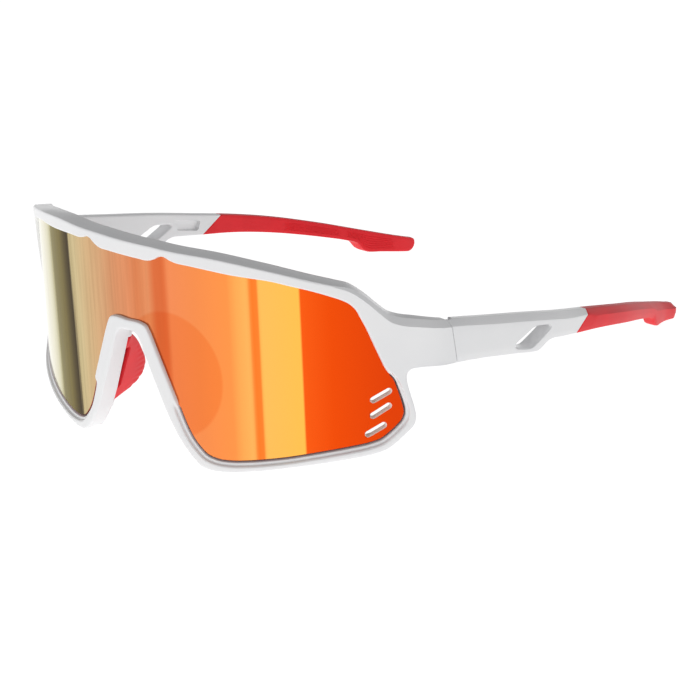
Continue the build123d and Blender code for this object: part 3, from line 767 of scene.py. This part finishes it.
# white moulded nylon: satin, with a faint moulding haze in colour and roughness
white, nt, b = new_mat("white_moulded_nylon")
b.inputs["IOR"].default_value = 1.5
b.inputs["Coat Weight"].default_value = 0.25
b.inputs["Coat Roughness"].default_value = 0.12
tc, nz = fine_bump(nt, b, 2600, 0.12, 0.00003)
big = N(nt, "ShaderNodeTexNoise"); big.inputs["Scale"].default_value = 55; big.inputs["Detail"].default_value = 4
nt.links.new(tc.outputs["Object"], big.inputs["Vector"])
cr = N(nt, "ShaderNodeValToRGB")
cr.color_ramp.elements[0].position = .3; cr.color_ramp.elements[0].color = (.835, .84, .85, 1)
cr.color_ramp.elements[1].position = .75; cr.color_ramp.elements[1].color = (.875, .875, .88, 1)
nt.links.new(big.outputs["Fac"], cr.inputs["Fac"]); nt.links.new(cr.outputs["Color"], b.inputs["Base Color"])
rr = N(nt, "ShaderNodeMapRange"); rr.inputs["To Min"].default_value = .24; rr.inputs["To Max"].default_value = .36
nt.links.new(big.outputs["Fac"], rr.inputs["Value"]); nt.links.new(rr.outputs["Result"], b.inputs["Roughness"])

# soft red rubber
red, nt, b = new_mat("soft_red_rubber")
b.inputs["IOR"].default_value = 1.5
b.inputs["Specular IOR Level"].default_value = 0.22
tc, nz = fine_bump(nt, b, 4200, 0.22, 0.00003)
big = N(nt, "ShaderNodeTexNoise"); big.inputs["Scale"].default_value = 90; big.inputs["Detail"].default_value = 5
nt.links.new(tc.outputs["Object"], big.inputs["Vector"])
cr = N(nt, "ShaderNodeValToRGB")
cr.color_ramp.elements[0].position = .3; cr.color_ramp.elements[0].color = (.78, .011, .020, 1)
cr.color_ramp.elements[1].position = .75; cr.color_ramp.elements[1].color = (.88, .018, .028, 1)
nt.links.new(big.outputs["Fac"], cr.inputs["Fac"]); nt.links.new(cr.outputs["Color"], b.inputs["Base Color"])
rr = N(nt, "ShaderNodeMapRange"); rr.inputs["To Min"].default_value = .34; rr.inputs["To Max"].default_value = .5
nt.links.new(big.outputs["Fac"], rr.inputs["Value"]); nt.links.new(rr.outputs["Result"], b.inputs["Roughness"])

# mirror coating on the shield: an orange mirror tint that changes across it, with the studio's reflection bands painted
# into its colour along the arc (painted reflection)
mirror, nt, b = new_mat("orange_mirror_painted_reflections")
b.inputs["Metallic"].default_value = 1.0
b.inputs["Roughness"].default_value = 0.10
b.inputs["Coat Weight"].default_value = 0.0
b.inputs["Coat Roughness"].default_value = 0.01
ac = N(nt, "ShaderNodeAttribute"); ac.attribute_name = "arc"
hc = N(nt, "ShaderNodeAttribute"); hc.attribute_name = "high"
# the painted reflection bands lean a little: arc shifted by height
def math_(op, x, y=None, z=None, clamp=False):
    n = N(nt, "ShaderNodeMath", operation=op, use_clamp=clamp)
    for i, v in enumerate((x, y, z)):
        if v is None:
            continue
        if isinstance(v, (int, float)):
            n.inputs[i].default_value = v
        else:
            nt.links.new(v, n.inputs[i])
    return n.outputs[0]


AR, HI = ac.outputs["Fac"], hc.outputs["Fac"]
wgt = math_("MULTIPLY", math_("MULTIPLY", AR, -0.05), 1.0, clamp=True)
lean = math_("MULTIPLY", math_("MULTIPLY_ADD", HI, 0.03, 14 * 0.03), wgt)
stv = N(nt, "ShaderNodeCombineXYZ")
nt.links.new(AR, stv.inputs[0]); nt.links.new(math_("MULTIPLY", HI, 0.03), stv.inputs[1])
stn = N(nt, "ShaderNodeTexNoise"); stn.inputs["Scale"].default_value = 0.9; stn.inputs["Detail"].default_value = 3.0
nt.links.new(stv.outputs[0], stn.inputs["Vector"])
wob = math_("MULTIPLY", math_("SUBTRACT", stn.outputs["Fac"], 0.5), math_("MULTIPLY_ADD", wgt, 1.2, 0.3))
SV = math_("ADD", math_("ADD", AR, lean), wob)
mp = N(nt, "ShaderNodeMapRange"); mp.inputs["From Min"].default_value = -78; mp.inputs["From Max"].default_value = 78
nt.links.new(SV, mp.inputs["Value"])
cr = N(nt, "ShaderNodeValToRGB")
# colour stops along the arc: the coating's orange-to-gold tint, with painted reflection bands, light and dark, laid
# over it
LENS_TINT_AND_PAINTED_REFLECTION_STOPS = [(-62, (238, 238, 216)), (-46, (224, 218, 186)), (-41, (208, 202, 160)), (-38.2, (164, 154, 84)), (-37.2, (124, 112, 34)), (-31, (118, 102, 26)), (-28, (84, 68, 10)),
              (-25.3, (54, 38, 3)), (-24.5, (184, 166, 116)), (-22, (203, 183, 134)), (-16, (208, 173, 126)), (-10, (210, 162, 118)), (-5, (212, 146, 103)), (0, (222, 144, 100)),
              (3.5, (216, 128, 82)), (7.3, (226, 144, 97)), (9.6, (216, 110, 64)), (12.6, (219, 108, 60)), (14.2, (238, 139, 87)), (22, (240, 140, 78)), (31, (249, 147, 73)),
              (33.2, (251, 166, 84)), (36.4, (252, 178, 92)), (37.4, (247, 122, 42)), (39.0, (248, 128, 48)), (39.7, (253, 187, 91)), (50.0, (255, 189, 80)), (50.5, (243, 90, 22)),
              (58, (234, 76, 12)), (74, (219, 64, 12))]
while len(cr.color_ramp.elements) < len(LENS_TINT_AND_PAINTED_REFLECTION_STOPS):
    cr.color_ramp.elements.new(0.5)
for e, (a, c) in zip(cr.color_ramp.elements, LENS_TINT_AND_PAINTED_REFLECTION_STOPS):
    e.position = (a + 78) / 156
for e, (a, c) in zip(sorted(cr.color_ramp.elements, key=lambda e: e.position), LENS_TINT_AND_PAINTED_REFLECTION_STOPS):
    e.color = lin(*c)
nt.links.new(mp.outputs["Result"], cr.inputs["Fac"])
# painted see-through view: the side of the nose painted as if seen faintly through the coating, as one warm patch on
# the +arc half only
ex_ = math_("DIVIDE", math_("SUBTRACT", AR, 13.0), 15.5)
ez_ = math_("DIVIDE", math_("ADD", HI, 24.0), 18.0)
rad = math_("SQRT", math_("ADD", math_("MULTIPLY", ex_, ex_), math_("MULTIPLY", ez_, ez_)))
see_through_patch = math_("MULTIPLY", math_("SUBTRACT", 1.02, rad), 22.0, clamp=True)
tint = N(nt, "ShaderNodeMix", data_type="RGBA", blend_type="MULTIPLY")
tint.inputs[0].default_value = 1.0
nt.links.new(cr.outputs["Color"], tint.inputs[6])
tcol = N(nt, "ShaderNodeMix", data_type="RGBA")
nt.links.new(see_through_patch, tcol.inputs[0])
tcol.inputs[6].default_value = (1, 1, 1, 1); tcol.inputs[7].default_value = (.97, .80, .66, 1)
nt.links.new(tcol.outputs[2], tint.inputs[7])
stk = N(nt, "ShaderNodeMix", data_type="RGBA", blend_type="MULTIPLY")
nt.links.new(math_("MULTIPLY_ADD", AR, -0.04, 0.75, clamp=True), stk.inputs[0])
nt.links.new(tint.outputs[2], stk.inputs[6])
sc_ = N(nt, "ShaderNodeValToRGB")
sc_.color_ramp.elements[0].position = .35; sc_.color_ramp.elements[0].color = (.90, .88, .86, 1)
sc_.color_ramp.elements[1].position = .60; sc_.color_ramp.elements[1].color = (1, 1, 1, 1)
nt.links.new(stn.outputs["Fac"], sc_.inputs["Fac"]); nt.links.new(sc_.outputs["Color"], stk.inputs[7])
nt.links.new(stk.outputs[2], b.inputs["Base Color"])
b.inputs["Specular IOR Level"].default_value = 0.05
# metallic drops across the dark painted reflection band, so that stretch reads darker
mm_ = N(nt, "ShaderNodeValToRGB")
M_PAINTED_DARK_BAND_STOPS = [(-62, 1.0), (-39, 1.0), (-37.4, .35), (-30, .22), (-25.2, .04), (-24.2, 1.0), (70, 1.0)]
while len(mm_.color_ramp.elements) < len(M_PAINTED_DARK_BAND_STOPS):
    mm_.color_ramp.elements.new(0.5)
for e, (a, c) in zip(mm_.color_ramp.elements, M_PAINTED_DARK_BAND_STOPS):
    e.position = (a + 78) / 156
for e, (a, c) in zip(sorted(mm_.color_ramp.elements, key=lambda e: e.position), M_PAINTED_DARK_BAND_STOPS):
    e.color = (c, c, c, 1)
nt.links.new(mp.outputs["Result"], mm_.inputs["Fac"]); nt.links.new(mm_.outputs["Color"], b.inputs["Metallic"])
tcm = N(nt, "ShaderNodeTexCoord")
wv = N(nt, "ShaderNodeTexNoise"); wv.inputs["Scale"].default_value = 14; wv.inputs["Detail"].default_value = 1.0
nt.links.new(tcm.outputs["Object"], wv.inputs["Vector"])
bp = N(nt, "ShaderNodeBump"); bp.inputs["Strength"].default_value = .05; bp.inputs["Distance"].default_value = .0002
nt.links.new(wv.outputs["Fac"], bp.inputs["Height"]); nt.links.new(bp.outputs["Normal"], b.inputs["Normal"])

back_m, nt, b = new_mat("tinted_shield_back")
b.inputs["Roughness"].default_value = 0.08
b.inputs["IOR"].default_value = 1.58
tcb, nzb = fine_bump(nt, b, 30, 0.03, 0.0001, detail=1.0)
crb = N(nt, "ShaderNodeValToRGB")
crb.color_ramp.elements[0].color = (.030, .018, .014, 1); crb.color_ramp.elements[1].color = (.060, .030, .018, 1)
nt.links.new(nzb.outputs["Fac"], crb.inputs["Fac"]); nt.links.new(crb.outputs["Color"], b.inputs["Base Color"])

# dark red painted on the shield's cut edge to stand in for light refracted through the edge (painted refraction)
edge_refraction_m, nt, b = new_mat("shield_cut_edge_painted_refraction")
b.inputs["Roughness"].default_value = 0.22
b.inputs["IOR"].default_value = 1.58
tce, nze = fine_bump(nt, b, 900, 0.15, 0.00004)
cre = N(nt, "ShaderNodeValToRGB")
cre.color_ramp.elements[0].color = (.26, .020, .008, 1); cre.color_ramp.elements[1].color = (.42, .045, .015, 1)
nt.links.new(nze.outputs["Fac"], cre.inputs["Fac"]); nt.links.new(cre.outputs["Color"], b.inputs["Base Color"])

# the slot walls are the same cut edge, painted pale as if lit (painted highlight)
slot_highlight_m, nt, b = new_mat("shield_slot_wall_painted_highlight")
b.inputs["Roughness"].default_value = 0.3
b.inputs["IOR"].default_value = 1.58
tcl, nzl = fine_bump(nt, b, 900, 0.15, 0.00004)
crl = N(nt, "ShaderNodeValToRGB")
crl.color_ramp.elements[0].color = (.82, .62, .55, 1); crl.color_ramp.elements[1].color = (.88, .74, .68, 1)
nt.links.new(nzl.outputs["Fac"], crl.inputs["Fac"]); nt.links.new(crl.outputs["Color"], b.inputs["Base Color"])

steel, nt, b = new_mat("plain_steel")
b.inputs["Metallic"].default_value = 1.0
tcs, nzs = fine_bump(nt, b, 1500, 0.2, 0.00003)
crs = N(nt, "ShaderNodeValToRGB")
crs.color_ramp.elements[0].color = (.45, .45, .46, 1); crs.color_ramp.elements[1].color = (.62, .62, .64, 1)
nt.links.new(nzs.outputs["Fac"], crs.inputs["Fac"]); nt.links.new(crs.outputs["Color"], b.inputs["Base Color"])
b.inputs["Roughness"].default_value = 0.28

front.data.materials.clear(); front.data.materials.append(white)
lens.data.materials.clear()
for m in (mirror, back_m, edge_refraction_m, slot_highlight_m):
    lens.data.materials.append(m)
lens.data.polygons.foreach_set("material_index", mat_idx)
lens.data.update()
for o in bpy.data.objects:
    if o.name.startswith("temple_arm_"):
        o.data.materials.clear(); o.data.materials.append(white)
    if o.name.startswith("rubber_sleeve_") or o.name.startswith("nose_pad_wing_"):
        o.data.materials.clear(); o.data.materials.append(red)
for n in frame["nodes"]:
    if n.startswith(("hinge_screw", "nose_pad_pin", "temple_core_wire")):
        o = frame["nodes"][n]
        o.data.materials.clear(); o.data.materials.append(steel)

# ------------------------------------------------------------------ floor, light, camera
fl = mesh_object("floor", [(-15, -15, 0), (15, -15, 0), (15, 15, 0), (-15, 15, 0)], [(0, 1, 2, 3)], smooth=False)
fm, nt, b = new_mat("pale_floor")
b.inputs["Roughness"].default_value = 0.9
tcf = N(nt, "ShaderNodeTexCoord"); nf = N(nt, "ShaderNodeTexNoise"); nf.inputs["Scale"].default_value = 3
nt.links.new(tcf.outputs["Object"], nf.inputs["Vector"])
crf = N(nt, "ShaderNodeValToRGB")
crf.color_ramp.elements[0].color = (.26, .26, .26, 1); crf.color_ramp.elements[1].color = (.28, .28, .28, 1)
nt.links.new(nf.outputs["Fac"], crf.inputs["Fac"]); nt.links.new(crf.outputs["Color"], b.inputs["Base Color"])
b.inputs["Emission Color"].default_value = (1, 1, 1, 1)
b.inputs["Emission Strength"].default_value = 0.97
fl.data.materials.append(fm)

w = bpy.data.worlds.new("studio") if not bpy.context.scene.world else bpy.context.scene.world
bpy.context.scene.world = w
w.use_nodes = True
nt = w.node_tree
bg = nt.nodes.get("Background") or nt.nodes.new("ShaderNodeBackground")
tcw = N(nt, "ShaderNodeTexCoord"); sx_ = N(nt, "ShaderNodeSeparateXYZ")
nt.links.new(tcw.outputs["Generated"], sx_.inputs[0])
crw = N(nt, "ShaderNodeValToRGB")
crw.color_ramp.elements[0].position = 0.0; crw.color_ramp.elements[0].color = (.60, .60, .60, 1)
crw.color_ramp.elements[1].position = 1.0; crw.color_ramp.elements[1].color = (.285, .285, .29, 1)
e = crw.color_ramp.elements.new(.30); e.color = (.50, .50, .50, 1)
e = crw.color_ramp.elements.new(.60); e.color = (.27, .27, .275, 1)
nt.links.new(sx_.outputs["Z"], crw.inputs["Fac"]); nt.links.new(crw.outputs["Color"], bg.inputs["Color"])
bg.inputs["Strength"].default_value = 1.0


def area(name, loc, target, size, power, size_y=None, color=(1, 1, 1)):
    l = bpy.data.lights.new(name, "AREA")
    l.energy = power; l.color = color
    l.shape = "RECTANGLE"; l.size = size; l.size_y = size_y or size
    o = link(bpy.data.objects.new(name, l))
    o.location = loc
    d = Vector(target) - Vector(loc)
    o.rotation_euler = d.to_track_quat("-Z", "Y").to_euler()
    return o


mid = (0, 0, .03)
area("key_front", (-0.25, -1.5, .26), mid, 1.3, 3.5, .45)
area("side_right", (1.5, -.35, .24), mid, 1.2, 1.15, .45)
area("side_left", (-1.4, -.3, .35), mid, 1.0, 1.0, .6)
area("rim_back", (.2, 1.5, .45), mid, 1.2, 0.9, .5)

cam = bpy.data.cameras.new("camera")
co_ = link(bpy.data.objects.new("camera", cam))
cam.sensor_width = 36.0
cam.lens = 36.0 * 2903.25 / 700
cam.clip_start = .01; cam.clip_end = 50
cam.dof.use_dof = False
bk_ = Vector((0.59137897, -0.72687825, 0.34916891)); rt = Vector((0.77570103, 0.63110056, 0)); up = Vector((-0.2203607, 0.27085068, 0.9370598))
loc = row(np.array([504.922, -526.696, 251.792]))
co_.matrix_world = Matrix(((rt.x, up.x, bk_.x, loc[0]), (rt.y, up.y, bk_.y, loc[1]), (rt.z, up.z, bk_.z, loc[2]), (0, 0, 0, 1)))
bpy.context.scene.camera = co_
bpy.context.scene.view_settings.view_transform = "Standard"
